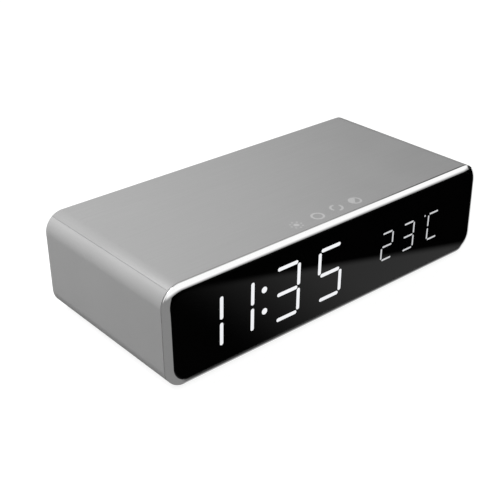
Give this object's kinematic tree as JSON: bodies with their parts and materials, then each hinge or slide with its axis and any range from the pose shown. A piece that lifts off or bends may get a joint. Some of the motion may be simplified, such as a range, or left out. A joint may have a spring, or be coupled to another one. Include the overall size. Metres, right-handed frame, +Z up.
{
  "type": "wireless charging digital clock",
  "caption": "Long rounded box with a brushed top cover over a charging coil, a chromed front rim round a glossy black display, rubber feet and a hinged battery door underneath.",
  "frame": {"origin": "on the surface that the clock stands on, under the middle of its outline", "axes": "+X along the width, to the right as seen from the front; +Y from the front face to the rear; +Z up"},
  "size_m": [0.19, 0.0896, 0.049],
  "materials": {
    "cover_film": "fine brushed film, satin",
    "case_plastic": "satin moulded",
    "bezel_chrome": "polished plating",
    "lens_black": "high gloss, see-through when lit",
    "diffuser": "frosted film",
    "white_plastic": "satin moulded",
    "circuit_board": "solder mask",
    "black_plastic": "moulded",
    "foam": "open foam",
    "coil_copper": "enamelled litz wire",
    "ferrite": "sintered, dull",
    "capacitor_case": "boxed, satin",
    "capacitor_can": "drawn can",
    "inlet_steel": "stamped shell",
    "cell_steel": "stainless can",
    "contact_steel": "plated spring strip",
    "cable_sheath": "flexible insulation",
    "rubber": "matt",
    "screw_steel": "zinc plated"
  },
  "bodies": {
    "case": {"board_screw_1": "screw_steel", "board_screw_2": "screw_steel", "board_screw_3": "screw_steel", "board_screw_4": "screw_steel", "carrier_screw_1": "screw_steel", "carrier_screw_2": "screw_steel", "carrier_screw_3": "screw_steel", "carrier_screw_4": "screw_steel", "case_screw_1": "screw_steel", "case_screw_2": "screw_steel", "case_screw_3": "screw_steel", "case_screw_4": "screw_steel", "cell_cable": "cable_sheath", "cell_contact_negative": "contact_steel", "cell_contact_positive": "contact_steel", "cell_holder": "black_plastic", "charger_board": "circuit_board", "charging_coil": "coil_copper", "coil_carrier": "white_plastic", "coil_ferrite": "ferrite", "coil_lead_inner": "coil_copper", "coil_lead_outer": "coil_copper", "coin_cell": "cell_steel", "diffuser_film": "diffuser", "digit_reflector": "white_plastic", "display_board": "circuit_board", "display_cable": "cable_sheath", "display_lens": "lens_black", "display_screw_1": "screw_steel", "display_screw_2": "screw_steel", "display_screw_3": "screw_steel", "display_screw_4": "screw_steel", "foot_1": "rubber", "foot_2": "rubber", "foot_3": "rubber", "foot_4": "rubber", "front_bezel": "bezel_chrome", "holder_screw_1": "screw_steel", "holder_screw_2": "screw_steel", "lower_case": "case_plastic", "power_inductor": "ferrite", "power_inlet": "inlet_steel", "rear_cover": "case_plastic", "rear_screw_1": "screw_steel", "rear_screw_2": "screw_steel", "resonance_capacitor_1": "capacitor_case", "resonance_capacitor_2": "capacitor_case", "smoothing_capacitor_1": "capacitor_can", "smoothing_capacitor_2": "capacitor_can", "sounder": "black_plastic", "temperature_sensor": "black_plastic", "top_cover": "cover_film", "touch_board": "circuit_board", "touch_cable": "cable_sheath", "touch_foam": "foam"},
    "door": {"battery_door": "case_plastic"}
  },
  "joints": [
    {"name": "battery_door_hinge", "type": "hinge", "parent": "case", "child": "door", "pos_m": [0.048, -0.0095, 0.0015], "axis": [-1, 0, 0], "range_deg": [0, 45]}
  ]
}
